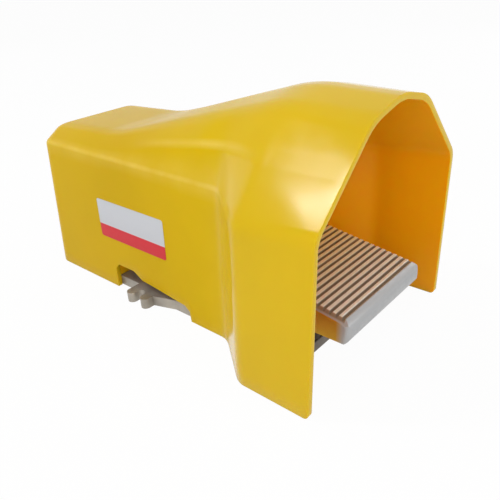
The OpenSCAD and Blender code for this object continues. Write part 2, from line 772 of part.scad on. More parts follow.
// Ports on the rear face: [x, z, order of the seats from shallow to deep, place of its passage along the spool]
function ports() = [
    [0, spool_z + port_rows, 0, 0.5],
    [-port_pitch, spool_z + port_rows, 1, 0.3],
    [port_pitch, spool_z + port_rows, 2, 0.7],
    [-low_port_x, spool_z, 3, 0.08],
    [low_port_x, spool_z, 4, 0.92]];
gallery_d = 6.5;

// Valve body: block with the spool bore, five rear ports and their passages to the bore
module valve_body() color("silver")
    difference() {
        translate([-body_w / 2, body_y, base_t]) cube([body_w, body_l, body_h]);
        body_edges();
        translate([0, body_y - cut, spool_z]) rod_y(bore_d, body_l + 2 * cut);
        for (p = ports()) port(p[0], p[1], p[2], p[3]);
        for (s = [-1, 1], y = [body_y + body_screw_inset, body_rear - body_screw_inset])
            translate([s * body_screw_x, y, base_t - cut])
                cylinder(d = body_screw_d + 2 * seat_fit, h = body_screw_l + body_head_h - base_t + cut + screw_end_gap);
        for (x = [-1, 1], z = [-1, 1])
            translate([x * cap_screw_x, body_y - cut, spool_z + cap_rise() + z * cap_screw_z])
                rod_y(cap_screw_d + 2 * seat_fit, cap_screw_l - cap_t + cut + screw_end_gap);
    }

// Port with its seat, the gallery from its floor and the drilling from there to the spool bore
module port(x, z, order, along) {
    mouth = body_rear - port_seat_depth - order * port_seat_step;
    station = mix(spool_front, spool_rear, along);
    translate([x, mouth, z]) rod_y(port_seat_d, body_rear - mouth + cut);
    translate([x, mouth - port_depth, z]) rod_y(port_d, port_depth + cut);
    translate([x, station, z]) rod_y(gallery_d, mouth - port_depth - station + cut);
    passage([x, station, z], [0, station, spool_z], gallery_d - 1);
}

// Drilling between two points in one cross-section
module passage(a, b, d) {
    l = norm(b - a);
    turn = atan2(b[0] - a[0], b[2] - a[2]);
    translate(a) rotate([0, turn, 0]) cylinder(d = d, h = l);
}

// Bevels along the body's upper long edges
module body_edges() {
    bevel = 3;
    for (s = [-1, 1])
        translate([s * body_w / 2, body_y - cut, body_top])
            rotate([0, 45, 0]) translate([-bevel / sqrt(2), 0, -bevel / sqrt(2)])
                cube([bevel * sqrt(2), body_l + 2 * cut, bevel * sqrt(2)]);
}

// Spool with waists between its sealed lands
module spool() color("lightsteelblue") {
    pitch = spool_l / seal_count;
    land = bore_d / 2 - run_fit;
    waist_depth = 3;
    waist = land - waist_depth;
    groove = land - seal_w * 0.75;
    land_w = 5;
    translate([0, spool_front, spool_z])
        rotate([-90, 0, 0])
            difference() {
                cylinder(r = land, h = spool_l);
                for (i = [0:seal_count - 2])
                    ring_cut((i + 0.5) * pitch + land_w / 2, pitch - land_w, waist);
                for (i = [0:seal_count - 1])
                    ring_cut((i + 0.5) * pitch - seal_w / 2, seal_w, groove);
            }
}

// Groove round the spool
module ring_cut(z, w, r) {
    translate([0, 0, z])
        difference() {
            cylinder(d = bore_d + cut, h = w);
            translate([0, 0, -cut]) cylinder(r = r, h = w + 2 * cut);
        }
}

// Seal rings in the spool's grooves
module spool_seals() color("black") {
    pitch = spool_l / seal_count;
    out = bore_d / 2 - run_fit / 2;
    in = bore_d / 2 - run_fit - seal_w * 0.75 + seat_fit;
    for (i = [0:seal_count - 1])
        translate([0, spool_front + (i + 0.5) * pitch - seal_w / 2 + seat_fit, spool_z])
            rotate([-90, 0, 0])
                difference() {
                    cylinder(r = out, h = seal_w - 2 * seat_fit);
                    translate([0, 0, -cut]) cylinder(r = in, h = seal_w + 2 * cut);
                }
}

// Spring that returns the spool
module spool_spring() color("gainsboro")
    translate([0, spool_rear + touch_gap / 2, spool_z])
        rotate([-90, 0, 0]) coil(bore_d - 3, 1.4, spring_space - touch_gap, 5);

// Screwed plug behind the spool, with a hexagon socket
module rear_plug() color("darkgray")
    translate([0, plug_face, spool_z])
        difference() {
            union() {
                rod_y(bore_d - 2 * seat_fit, plug_spigot);
                translate([0, plug_spigot, 0]) rod_y(plug_d, plug_t);
            }
            translate([0, plug_spigot - plug_socket_depth, 0])
                rotate([-90, 0, 0]) cylinder(d = plug_socket_d, h = plug_t + plug_socket_depth + cut, $fn = 6);
            translate([0, plug_spigot / 2, 0]) rotate([-90, 0, 0])
                ring_cut(-plug_seal_w / 2, plug_seal_w, bore_d / 2 - plug_seal_w);
        }

// Seal ring in the plug's groove
module plug_seal() color("black")
    translate([0, plug_face + plug_spigot / 2 - plug_seal_w / 2 + seat_fit, spool_z])
        difference() {
            rod_y(bore_d - seat_fit, plug_seal_w - 2 * seat_fit);
            translate([0, -cut, 0]) rod_y(bore_d - 2 * plug_seal_w + 2 * seat_fit, plug_seal_w + 2 * cut);
        }

// Socket screws that hold the body down from below
module body_screws() color("dimgray")
    for (s = [-1, 1], y = [body_y + body_screw_inset, body_rear - body_screw_inset])
        translate([s * body_screw_x, y, 0]) from_below(body_screw_d, body_screw_l, body_head_d, body_head_h);

// Screws that hold the guard's bosses down from below
module guard_screws() color("dimgray")
    for (s = [-1, 1], y = boss_ys)
        translate([s * boss_x, y, 0]) from_below(guard_screw_d, guard_screw_l, guard_head_d, guard_head_h);

// Screw standing on its head, sunk a little below the base's underside
module from_below(d, l, head_d, head_h) {
    sink = 0.4;
    translate([0, 0, head_h - cut]) cylinder(d = d, h = l + cut);
    difference() {
        translate([0, 0, sink]) cylinder(d = head_d, h = head_h - sink);
        translate([0, 0, -cut]) cylinder(d = d, h = head_h / 2 + cut, $fn = 6);
    }
}

guard();
base();
pedal();
pivot_pin();
pivot_bushes();
pin_clips();
pedal_spring();
stop_buffers();
roller();
roller_pin();
push_rod();
front_cap();
cap_screws();
rod_wiper();
valve_body();
spool();
spool_seals();
spool_spring();
rear_plug();
plug_seal();
body_screws();
guard_screws();
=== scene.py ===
import json
import math

import bmesh
import bpy
import numpy as np
from mathutils import Matrix, Vector


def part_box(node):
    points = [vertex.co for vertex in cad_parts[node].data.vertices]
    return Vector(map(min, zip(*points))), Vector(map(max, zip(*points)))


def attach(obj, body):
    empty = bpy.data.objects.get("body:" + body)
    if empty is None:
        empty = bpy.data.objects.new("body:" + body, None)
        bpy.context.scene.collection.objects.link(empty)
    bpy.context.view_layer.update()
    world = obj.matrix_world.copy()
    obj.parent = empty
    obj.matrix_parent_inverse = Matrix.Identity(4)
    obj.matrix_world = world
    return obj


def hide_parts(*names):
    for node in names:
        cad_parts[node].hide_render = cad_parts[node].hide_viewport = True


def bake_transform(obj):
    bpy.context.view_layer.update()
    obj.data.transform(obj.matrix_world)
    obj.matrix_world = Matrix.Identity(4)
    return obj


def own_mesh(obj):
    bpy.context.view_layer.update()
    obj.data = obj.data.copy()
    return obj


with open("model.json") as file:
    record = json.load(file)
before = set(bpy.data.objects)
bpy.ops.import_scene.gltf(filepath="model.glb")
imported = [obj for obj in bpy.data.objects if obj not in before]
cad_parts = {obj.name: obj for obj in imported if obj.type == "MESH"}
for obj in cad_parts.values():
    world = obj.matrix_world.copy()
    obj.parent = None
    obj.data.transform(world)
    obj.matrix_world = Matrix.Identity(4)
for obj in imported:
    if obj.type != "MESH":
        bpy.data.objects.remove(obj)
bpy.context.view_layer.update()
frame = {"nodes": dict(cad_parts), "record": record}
nodes = frame["nodes"]
mm = 0.001

# Base: one aluminium die-casting that stands on the floor and carries the valve and the pedal's hinge.
# It is tumbled after casting, so its edges are soft and its skin is dull with a fine, even grain.
# Its top under the pedal carries a dark brown painted shade, and its front edge a little less of it.


def shader_of(finish):
    return finish.node_tree.nodes["Principled BSDF"]


def new_finish(name, colour, roughness, metallic=0.0):
    """A material with one shader, whose plain values sit on the shader's own sockets."""
    finish = bpy.data.materials.new(name)
    finish.use_nodes = True
    shader_of(finish).inputs["Base Color"].default_value = (*colour, 1)
    shader_of(finish).inputs["Roughness"].default_value = roughness
    shader_of(finish).inputs["Metallic"].default_value = metallic
    return finish


def add_node(finish, kind, **values):
    """A node in a finish, with its sockets set by name."""
    node = finish.node_tree.nodes.new(kind)
    for socket, value in values.items():
        node.inputs[socket.replace("_", " ")].default_value = value
    return node


def join(finish, output, into):
    finish.node_tree.links.new(output, into)


def feed(finish, socket, output):
    """Joins a value that changes over the surface to a socket of the finish's shader."""
    join(finish, output, shader_of(finish).inputs[socket])


def place_in_frame(finish, stretch=(1, 1, 1)):
    """The point in the part's own frame, in metres, stretched along its axes."""
    point = add_node(finish, "ShaderNodeTexCoord")
    if stretch == (1, 1, 1):
        return point.outputs["Object"]
    mapping = add_node(finish, "ShaderNodeMapping", Scale=stretch)
    join(finish, point.outputs["Object"], mapping.inputs["Vector"])
    return mapping.outputs["Vector"]


def along(finish, axis):
    """One coordinate of the point in the part's own frame, in metres."""
    split = add_node(finish, "ShaderNodeSeparateXYZ")
    join(finish, place_in_frame(finish), split.inputs["Vector"])
    return split.outputs[axis]


def speckle(finish, scale, detail=3.0, stretch=(1, 1, 1)):
    """Uneven spots from 0 to 1, as many to the metre as the scale says."""
    noise = add_node(finish, "ShaderNodeTexNoise", Scale=scale, Detail=detail)
    join(finish, place_in_frame(finish, stretch), noise.inputs["Vector"])
    return noise.outputs["Fac"]


def spread(finish, value, low, high, start=0.3, end=0.7):
    """A value that runs from start to end, turned into one that runs from low to high."""
    span = add_node(finish, "ShaderNodeMapRange", From_Min=start, From_Max=end, To_Min=low, To_Max=high)
    join(finish, value, span.inputs["Value"])
    return span.outputs["Result"]


def tint(finish, value, stops):
    """Colours along a value, as (place, colour) stops."""
    ramp = add_node(finish, "ShaderNodeValToRGB")
    for stop, (place, colour) in zip(ramp.color_ramp.elements, (stops[0], stops[-1])):
        stop.position, stop.color = place, (*colour, 1)
    for place, colour in stops[1:-1]:
        ramp.color_ramp.elements.new(place).color = (*colour, 1)
    join(finish, value, ramp.inputs["Fac"])
    return ramp.outputs["Color"]


def lay_over(finish, share, below, colour, way="MIX"):
    """A colour laid over what is below it, as far as the share says."""
    layer = add_node(finish, "ShaderNodeMix")
    layer.data_type, layer.blend_type = "RGBA", way
    share_in, below_in, colour_in = layer.inputs[0], layer.inputs[6], layer.inputs[7]
    colour_in.default_value = (*colour, 1)
    join(finish, share, share_in)
    join(finish, below, below_in)
    return layer.outputs[2]


def work_out(finish, operation, first, second=None):
    """A sum on one or two values that change over the surface."""
    sum_node = add_node(finish, "ShaderNodeMath")
    sum_node.operation = operation
    join(finish, first, sum_node.inputs[0])
    if second is not None:
        join(finish, second, sum_node.inputs[1])
    return sum_node.outputs[0]


def raise_grain(finish, value, depth, strength):
    """Fine relief from a value that changes over the surface, as deep as said, in metres."""
    bump = add_node(finish, "ShaderNodeBump", Distance=depth, Strength=strength)
    join(finish, value, bump.inputs["Height"])
    feed(finish, "Normal", bump.outputs["Normal"])


def shade(colour, amount):
    """A colour made darker or lighter."""
    return tuple(min(1, c * amount) for c in colour)


def soften(piece, width, angle=35):
    """Closes the split edges of a piece and rounds its sharp ones."""
    seam = 0.005 * mm
    piece.modifiers.new("close", "WELD").merge_threshold = seam
    round_off = piece.modifiers.new("round_off", "BEVEL")
    round_off.width = width
    round_off.segments = 2
    round_off.limit_method = "ANGLE"
    round_off.angle_limit = math.radians(angle)
    round_off.harden_normals = False


def dress(name, finish, round_off):
    """Gives a piece of the frame its finish and its rounded edges."""
    piece = nodes[name]
    piece.data.materials.clear()
    piece.data.materials.append(finish)
    soften(piece, round_off)


cast_grey = (0.38, 0.345, 0.295)
# Dark brown painted shade on the top under the pedal, with less of it on the front edge
painted_pedal_shade = (0.035, 0.019, 0.006)
pedal_shade_y, pedal_shade_z, front_edge_shade = (-75 * mm, -55 * mm), (5.6 * mm, 6.6 * mm), 0.7
tumbled_casting = new_finish("tumbled_casting", cast_grey, roughness=0.45, metallic=0.55)
clean_tint = tint(tumbled_casting, speckle(tumbled_casting, 55, detail=5),
                  [(0.3, shade(cast_grey, 0.72)), (0.55, cast_grey), (0.75, shade(cast_grey, 1.2))])
under_pedal = spread(tumbled_casting, along(tumbled_casting, "Y"), 1, 0, *pedal_shade_y)
on_top = spread(tumbled_casting, along(tumbled_casting, "Z"), front_edge_shade, 1, *pedal_shade_z)
painted_shade_share = work_out(tumbled_casting, "MULTIPLY", under_pedal, on_top)
feed(tumbled_casting, "Base Color", lay_over(tumbled_casting, painted_shade_share, clean_tint, painted_pedal_shade))
feed(tumbled_casting, "Roughness", spread(tumbled_casting, speckle(tumbled_casting, 160), 0.36, 0.58))
raise_grain(tumbled_casting, speckle(tumbled_casting, 1400, detail=2), depth=0.12 * mm, strength=0.5)
dress("base", tumbled_casting, round_off=0.7 * mm)

# Hinge: two sintered bronze bushes pressed into the base's lugs carry a ground steel pin,
# which open spring clips hold at its ends.
bronze = (0.52, 0.33, 0.14)
sintered_bronze = new_finish("sintered_bronze", bronze, roughness=0.45, metallic=1.0)
feed(sintered_bronze, "Base Color",
     tint(sintered_bronze, speckle(sintered_bronze, 900, detail=4),
          [(0.35, shade(bronze, 0.6)), (0.6, bronze), (0.8, shade(bronze, 1.25))]))
raise_grain(sintered_bronze, speckle(sintered_bronze, 2200), depth=0.08 * mm, strength=0.5)
dress("pivot_bushes", sintered_bronze, round_off=0.2 * mm)

steel = (0.47, 0.47, 0.48)
ground_steel = new_finish("ground_steel", steel, roughness=0.28, metallic=1.0)
feed(ground_steel, "Roughness",
     spread(ground_steel, speckle(ground_steel, 420, detail=4, stretch=(0.05, 1, 1)), 0.29, 0.42))
feed(ground_steel, "Base Color",
     tint(ground_steel, speckle(ground_steel, 45), [(0.3, shade(steel, 0.8)), (0.7, shade(steel, 1.1))]))
raise_grain(ground_steel, speckle(ground_steel, 1800, detail=2, stretch=(0.04, 1, 1)),
            depth=0.03 * mm, strength=0.4)
dress("pivot_pin", ground_steel, round_off=0.25 * mm)

zinc = (0.56, 0.57, 0.59)
zinc_plate = new_finish("zinc_plate", zinc, roughness=0.32, metallic=1.0)
feed(zinc_plate, "Base Color",
     tint(zinc_plate, speckle(zinc_plate, 260, detail=4),
          [(0.35, shade(zinc, 0.82)), (0.65, shade(zinc, 1.12))]))
feed(zinc_plate, "Roughness", spread(zinc_plate, speckle(zinc_plate, 700), 0.29, 0.45))
dress("pin_clips", zinc_plate, round_off=0.12 * mm)

# Return springs: cold-wound round wire, zinc plated, with the end turns closed.
# The large one stands on the base's post under the tread, which tips it in the real pedal; here it is wound
# straight.
# The small one pushes the spool back.


def skin(mesh, loops):
    """A closed skin through a row of loops of points."""
    for near, far in zip(loops, loops[1:]):
        for j in range(len(near)):
            k = (j + 1) % len(near)
            mesh.faces.new((near[j], far[j], far[k], near[k]))
    mesh.faces.new(loops[0])
    mesh.faces.new(reversed(loops[-1]))


def keep_mesh(name, mesh, smooth=True):
    """Turns mesh code into an object of the scene, with outward faces."""
    bmesh.ops.recalc_face_normals(mesh, faces=mesh.faces)
    for face in mesh.faces:
        face.smooth = smooth
    data = bpy.data.meshes.new(name)
    mesh.to_mesh(data)
    mesh.free()
    piece = bpy.data.objects.new(name, data)
    bpy.context.scene.collection.objects.link(piece)
    return piece


def wind_coil(name, outer, wire, height, turns):
    """Round wire wound up a helix from z = 0, with flat closed end turns."""
    sides, steps, closed = 14, 40, 0.75
    radius = (outer - wire) / 2
    mesh = bmesh.new()
    rings = []
    for i in range(int(turns * steps) + 1):
        turn = i / steps
        angle = 2 * math.pi * turn
        middle = wire / 2 + (height - wire) * min(1, max(0, (turn - closed) / (turns - 2 * closed)))
        ring = []
        for k in range(sides):
            b = 2 * math.pi * k / sides
            r = radius + wire / 2 * math.cos(b)
            z = middle + wire / 2 * math.sin(b)
            ring.append(mesh.verts.new((r * math.cos(angle), r * math.sin(angle), z)))
        rings.append(ring)
    skin(mesh, rings)
    return keep_mesh(name, mesh)


tread_coil_d, tread_wire, tread_turns = 20 * mm, 2 * mm, 6
low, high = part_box("pedal_spring")
tread_coil_y = (low.y + high.y) / 2
tread_coil = wind_coil("tread_coil", tread_coil_d, tread_wire, high.z - low.z, tread_turns)
tread_coil.data.transform(Matrix.Translation((0, tread_coil_y, low.z)))
tread_coil.data.materials.append(zinc_plate)
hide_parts("pedal_spring")
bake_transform(tread_coil)

spool_coil_d, spool_wire, spool_turns = 13 * mm, 1.4 * mm, 5
low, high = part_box("spool_spring")
spool_axis_z = (low.z + high.z) / 2
spool_coil = wind_coil("spool_coil", spool_coil_d, spool_wire, high.y - low.y, spool_turns)
spool_coil.data.transform(Matrix.Rotation(math.radians(-90), 4, "X"))
spool_coil.data.transform(Matrix.Translation((0, low.y, spool_axis_z)))
spool_coil.data.materials.append(zinc_plate)
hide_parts("spool_spring")
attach(spool_coil, "frame")
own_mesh(spool_coil)

# Rubber pieces: buffers on the base's posts, the wiper round the push rod and the seal rings.
# All are moulded black nitrile with a matt, slightly dusty skin.
nitrile, rubber_dust = (0.028, 0.028, 0.029), (0.075, 0.072, 0.068)
moulded_rubber = new_finish("moulded_rubber", nitrile, roughness=0.6)
feed(moulded_rubber, "Base Color",
     tint(moulded_rubber, speckle(moulded_rubber, 140, detail=5), [(0.35, nitrile), (0.75, rubber_dust)]))
raise_grain(moulded_rubber, speckle(moulded_rubber, 2600), depth=0.05 * mm, strength=0.5)
for rubber_piece in ("stop_buffers", "rod_wiper", "spool_seals", "plug_seal"):
    dress(rubber_piece, moulded_rubber, round_off=0.2 * mm)

# Valve: a milled aluminium block with the spool bore and five ports in its rear face.
# The cap at its front is milled from the same alloy, the plug and the spool are turned from it,
# and all keep fine tool marks.
alloy = (0.60, 0.61, 0.63)
milled_alloy = new_finish("milled_alloy", alloy, roughness=0.33, metallic=1.0)
feed(milled_alloy, "Roughness",
     spread(milled_alloy, speckle(milled_alloy, 380, detail=4, stretch=(1, 0.06, 1)), 0.3, 0.46))
feed(milled_alloy, "Base Color",
     tint(milled_alloy, speckle(milled_alloy, 70, detail=4, stretch=(1, 0.1, 1)),
          [(0.3, shade(alloy, 0.85)), (0.7, shade(alloy, 1.08))]))
raise_grain(milled_alloy, speckle(milled_alloy, 1500, detail=2, stretch=(1, 0.04, 1)),
            depth=0.03 * mm, strength=0.3)
for alloy_piece in ("valve_body", "front_cap", "rear_plug", "spool"):
    dress(alloy_piece, milled_alloy, round_off=0.3 * mm)

# Port threads: a pipe thread is cut into each port with a tap, for the hose fittings.
# Here its crest stands out of the plain bore as one sharp helix that dies away at both ends.


def cut_thread(name, radius, depth, pitch, length):
    """Helical ridge on the inside of a bore that opens towards +Y."""
    steps, crest, root, ends, sunk = 48, 0.42, 0.84, 0.25, 0.02 * mm
    turns = length / pitch
    mesh = bmesh.new()
    rings = []
    for i in range(int(turns * steps) + 1):
        angle = 2 * math.pi * i / steps
        y = -pitch * i / steps
        done = i / (turns * steps)
        ridge = depth * min(1, done / ends, (1 - done) / ends)
        profile = ((radius + sunk, y), (radius - ridge, y - pitch * crest), (radius + sunk, y - pitch * root))
        rings.append([mesh.verts.new((r * math.cos(angle), at, r * math.sin(angle))) for r, at in profile])
    skin(mesh, rings)
    return keep_mesh(name, mesh, smooth=False)


thread_depth, thread_pitch, thread_l, thread_start = 0.55 * mm, 1.337 * mm, 10 * mm, 0.6 * mm
for mount in frame["record"]["mounts"]:
    if mount["kind"] == "threaded_hole":
        port_r = mount["dims"]["r_mm"] * mm
        thread = cut_thread(mount["name"] + "_thread", port_r, thread_depth, thread_pitch, thread_l)
        outward = Vector(mount["axis"])
        turn = Vector((0, 1, 0)).rotation_difference(outward).to_matrix().to_4x4()
        thread.data.transform(Matrix.Translation(Vector(mount["pos_m"]) - outward * thread_start) @ turn)
        thread.data.materials.append(milled_alloy)
        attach(thread, "frame")

# Steel pieces of the drive: the roller on its pin and the push rod are turned and ground bright.
# The screws are blackened: those of the body and the guard come from below, the cap's from the front.
blackened = (0.10, 0.10, 0.105)
blackened_steel = new_finish("blackened_steel", blackened, roughness=0.42, metallic=1.0)
feed(blackened_steel, "Base Color",
     tint(blackened_steel, speckle(blackened_steel, 320, detail=4),
          [(0.35, blackened), (0.75, shade(blackened, 2.4))]))
feed(blackened_steel, "Roughness", spread(blackened_steel, speckle(blackened_steel, 800), 0.32, 0.55))
for ground_piece in ("roller", "roller_pin", "push_rod"):
    dress(ground_piece, ground_steel, round_off=0.2 * mm)
for screws in ("cap_screws", "body_screws", "guard_screws"):
    dress(screws, blackened_steel, round_off=0.15 * mm)

# Pedal: an aluminium die-casting with anti-slip ribs across the tread and a smooth round nose.
# Shoes keep the rib tops bright, and the grooves between them hold dirt with painted shade on it.
# Towards the rear a painted orange stands for the orange light off the guard's inside.
# Its sides are smooth and carry a painted reflection of the guard's yellow.
tread_front_y, tread_front_z, tread_slope = -119.4 * mm, 39.2 * mm, math.radians(8.2)
groove_depth, first_groove_y = 1.5 * mm, -123.2 * mm
side_x, nose_end_y = 38.1 * mm, (-123 * mm, -119 * mm)
pedal_grey = (0.40, 0.405, 0.41)
rib_tan = (0.92, 0.90, 0.81)
# Groove tint: dirt in the grooves together with painted shade, which also darkens the rib edges
groove_dirt_and_shade = (0.285, 0.215, 0.15)
# Painted orange bounce light from the guard's inside, laid on more towards the rear
painted_orange_bounce, orange_bounce_y = (1.0, 0.84, 0.34), (-112 * mm, -58 * mm)
# Ochre of the sides behind the nose: a painted reflection of the guard's yellow
painted_guard_reflection = (0.57, 0.355, 0.035)

# Half-width of a border between two tints, and how deep the tints reach, in groove depths
border, tint_reach = 0.2 * mm, 2.5
worn_casting = new_finish("worn_casting", pedal_grey, roughness=0.4, metallic=0.35)


def scale_up(finish, value, factor):
    """A value times a factor, ready to have another added to it."""
    scaled = add_node(finish, "ShaderNodeMath")
    scaled.operation = "MULTIPLY_ADD"
    scaled.inputs[1].default_value = factor
    join(finish, value, scaled.inputs[0])
    return scaled


def depth_below_tread(finish):
    """How far a point lies below the plane of the rib tops, in groove depths."""
    rise = math.tan(tread_slope)
    plane = scale_up(finish, along(finish, "Y"), rise / groove_depth)
    plane.inputs[2].default_value = (tread_front_z - tread_front_y * rise) / groove_depth
    drop = scale_up(finish, along(finish, "Z"), -1 / groove_depth)
    join(finish, plane.outputs[0], drop.inputs[2])
    return drop.outputs[0]


# Rib tops stay bright, and the grooves and rib edges take the dirt and the painted shade
in_groove = spread(worn_casting, depth_below_tread(worn_casting), 0, 1, 0, tint_reach)
on_nose = spread(worn_casting, along(worn_casting, "Y"), 1, 0,
                 first_groove_y - border, first_groove_y + border)
on_side = spread(worn_casting, work_out(worn_casting, "ABSOLUTE", along(worn_casting, "X")), 0, 1,
                 side_x - border, side_x + border)
smooth_place = work_out(worn_casting, "MAXIMUM", on_nose, on_side)
bare_tint = tint(worn_casting, work_out(worn_casting, "MAXIMUM", in_groove, smooth_place),
                 [(0.0, rib_tan), (0.04, shade(rib_tan, 0.94)), (0.11, shade(groove_dirt_and_shade, 1.6)),
                  (0.2, groove_dirt_and_shade), (0.42, groove_dirt_and_shade), (0.6, pedal_grey), (1.0, pedal_grey)])
# The painted orange bounce light grows towards the rear
towards_rear = spread(worn_casting, along(worn_casting, "Y"), 0, 1, *orange_bounce_y)
bounce_tinted = lay_over(worn_casting, towards_rear, bare_tint, painted_orange_bounce, "MULTIPLY")
# The sides behind the nose take the painted reflection of the guard's yellow and turn fully metallic
behind_nose = spread(worn_casting, along(worn_casting, "Y"), 0, 1, *nose_end_y)
painted_reflection_share = work_out(worn_casting, "MULTIPLY", on_side, behind_nose)
feed(worn_casting, "Base Color", lay_over(worn_casting, painted_reflection_share, bounce_tinted, painted_guard_reflection))
feed(worn_casting, "Metallic", spread(worn_casting, painted_reflection_share, 0.35, 1.0, 0, 1))
feed(worn_casting, "Roughness", spread(worn_casting, speckle(worn_casting, 300, detail=5), 0.28, 0.5))
raise_grain(worn_casting, speckle(worn_casting, 1300, detail=2), depth=0.07 * mm, strength=0.4)
dress("pedal", worn_casting, round_off=0.45 * mm)

# Guard: one injection moulding in bright yellow, a rear box that flares into an eight-sided hood.
# Its wall is even and its edges are rounded. Light that comes through and round the wall
# turns the inside orange, and the inside is also painted a deeper orange than the outside.
# Pale lines along the box's shoulders and neck are painted highlights, and its rear is duller and deeper in
# colour than the hood.

# Sizes in millimetres (draft and neck_split are shares), a row each for the whole, the hood's roof,
# the rear box, the shoulder, the slants, the lengths, the neck, the radii, the soft edges and the notch
guard_l, guard_w, guard_h, wall = 256, 144, 143.84, 3.2
roof_crown, ridge_w, roof_w, mouth_fall = 5, 8, 53, 1.5
box_w, box_h, box_top_w, roof_fall = 94.5, 106.5, 62, 3
shoulder_h, hood_dip, mouth_rise = 94.5, 2, 2
draft, mouth_lean, rear_lean = 0.028, 2.6, 7
hood_l, flare_l, crest_l, flat_top_l = 48, 30.5, 50, 75
neck_bulge, neck_split, neck_lead, neck_tail, neck_soft = 7.8, 0.55, 10, 25, 7
rear_r, rear_flat, crease_r, mouth_corner_r = 11, 0.8, 4, 3
edge_soft, shoulder_soft, roof_edge_soft, roof_soft = 5, 2, 8, 12
notch_ahead, notch_behind, ear_y = 44, 29, 24.6
mouth_y, rear_y = -guard_l / 2, guard_l / 2
hood_y = mouth_y + hood_l
box_y = hood_y + flare_l
crest_y = mouth_y + crest_l
foot_y = rear_y - flat_top_l
notch_front, notch_rear = ear_y - notch_ahead, ear_y + notch_behind

# Points of the notch's upper edge, as places along the guard and heights
notch_middle = notch_front + 0.45 * (notch_rear - notch_front)
notch_edge = ((notch_front, 0), (notch_front + 1, 7), (notch_front + 5, 10), (notch_middle, 13),
              (notch_rear - 28, 14), (notch_rear - 20, 18.5), (notch_rear - 4, 18.5), (notch_rear, 14.5))

# How many points a corner and a side wall of the section have, and how strongly the corners carry a painted
# highlight
corner_points, wall_points = 7, 10
# Shares of painted highlight across the rounded shoulder and neck corners
shoulder_highlight = (0.4, 0.7, 0.9, 1, 0.9, 0.7, 0.4)
neck_highlight = (0, 0, 0.5, 1, 0.5, 0, 0)


def softened(y, places, heights, reach):
    """A bent line averaged over a short span, which rounds its corners."""
    sample_count = 17
    samples = y + reach * np.linspace(-1, 1, sample_count)
    return float(np.mean(np.interp(samples, places, heights)))


def floor_x(y):
    return softened(y, (hood_y, box_y), (guard_w / 2, box_w / 2), crease_r)


def shoulder_z(y):
    heights = (shoulder_h + mouth_rise, shoulder_h - hood_dip, shoulder_h)
    return softened(y, (mouth_y, hood_y, box_y), heights, crease_r)


def roof_z(y):
    edge_h = guard_h - roof_crown
    heights = (edge_h - mouth_fall, edge_h, box_h, box_h - roof_fall)
    return softened(y, (mouth_y, crest_y, foot_y, rear_y), heights, roof_soft)


def roof_half(y):
    return softened(y, (crest_y, foot_y), (roof_w / 2, box_top_w / 2), roof_soft)


def crown(y):
    return softened(y, (crest_y, foot_y), (roof_crown, 0), roof_soft)


def bulge(y):
    return softened(y, (hood_y, box_y + neck_lead, foot_y - neck_tail), (0, neck_bulge, 0), neck_soft)


def lower_edge(y):
    """Height of the wall's lower edge: rounded at the mouth's corner, raised over the notch for the ears."""
    if y < mouth_y + mouth_corner_r:
        return mouth_corner_r - math.sqrt(max(0, mouth_corner_r ** 2 - (mouth_corner_r - (y - mouth_y)) ** 2))
    if not notch_front < y < notch_rear:
        return 0
    return float(np.interp(y, *zip(*notch_edge)))


def rounded(a, b, c, setback):
    """A corner of the section as a short curve between points set back along its two edges.

    It takes less than half of an edge, so the curves at the edge's two ends stay apart.
    """
    most_share = 1 / 2.2
    b = np.array(b)
    ends = []
    for neighbour in (a, c):
        edge = np.array(neighbour) - b
        edge_l = np.linalg.norm(edge)
        ends.append(b + edge / edge_l * min(setback, edge_l * most_share))
    p, q = ends
    return [(1 - t) ** 2 * p + 2 * t * (1 - t) * b + t * t * q for t in np.linspace(0, 1, corner_points)]


def half_section(y, inset):
    """Right half of the guard's section, from the lower edge over the shoulder and neck to the roof."""
    corner_inset, wall_share = 0.41 * inset, 0.9
    low_z = lower_edge(y)
    foot = np.array((floor_x(y) - inset - draft * low_z, low_z))
    a = np.array((floor_x(y) - draft * shoulder_z(y) - inset, shoulder_z(y) - corner_inset))
    c = np.array((roof_half(y) - corner_inset, roof_z(y) - inset))
    ridge = np.array((ridge_w / 2, roof_z(y) + crown(y) - inset))
    d = (c - a) / np.linalg.norm(c - a)
    b = a + (c - a) * neck_split + bulge(y) * np.array((d[1], -d[0]))
    side_wall = [foot + (a - foot) * t for t in np.linspace(0, wall_share, wall_points)]
    shoulder_r = float(np.interp(y, (hood_y, box_y), (edge_soft, shoulder_soft)))
    shoulder, neck = rounded(foot, a, b, shoulder_r), rounded(a, b, c, edge_soft)
    roof = rounded(b, c, ridge, roof_edge_soft) + rounded(c, ridge, (0, ridge[1]), ridge_w / 2)
    return side_wall + shoulder + neck + roof


def lean(z, y):
    """How far the mouth's edge leans back towards the floor, and the rear wall forward towards its top."""
    return (mouth_lean * (1 - z / guard_h) * np.interp(y, (mouth_y, hood_y), (1, 0))
            - rear_lean * (z / box_h) * np.interp(y, (foot_y, rear_y - rear_r), (0, 1)))


def whole_section(y, inset, y_place):
    half = half_section(y, inset)
    left = [(-x, y_place + lean(z, y), z) for x, z in half]
    right = [(x, y_place + lean(z, y), z) for x, z in reversed(half)]
    return left + right


def edge_highlight(y):
    """How strongly each point of a section carries a painted highlight.

    The box's shoulders carry it, and the neck where it stands out.
    """
    shoulder = np.array(shoulder_highlight) * np.interp(y, (hood_y, box_y), (0, 1))
    neck = np.array(neck_highlight) * bulge(y) / neck_bulge
    half = np.concatenate((np.zeros(wall_points), shoulder, neck, np.zeros(2 * corner_points)))
    return np.concatenate((half, half[::-1]))


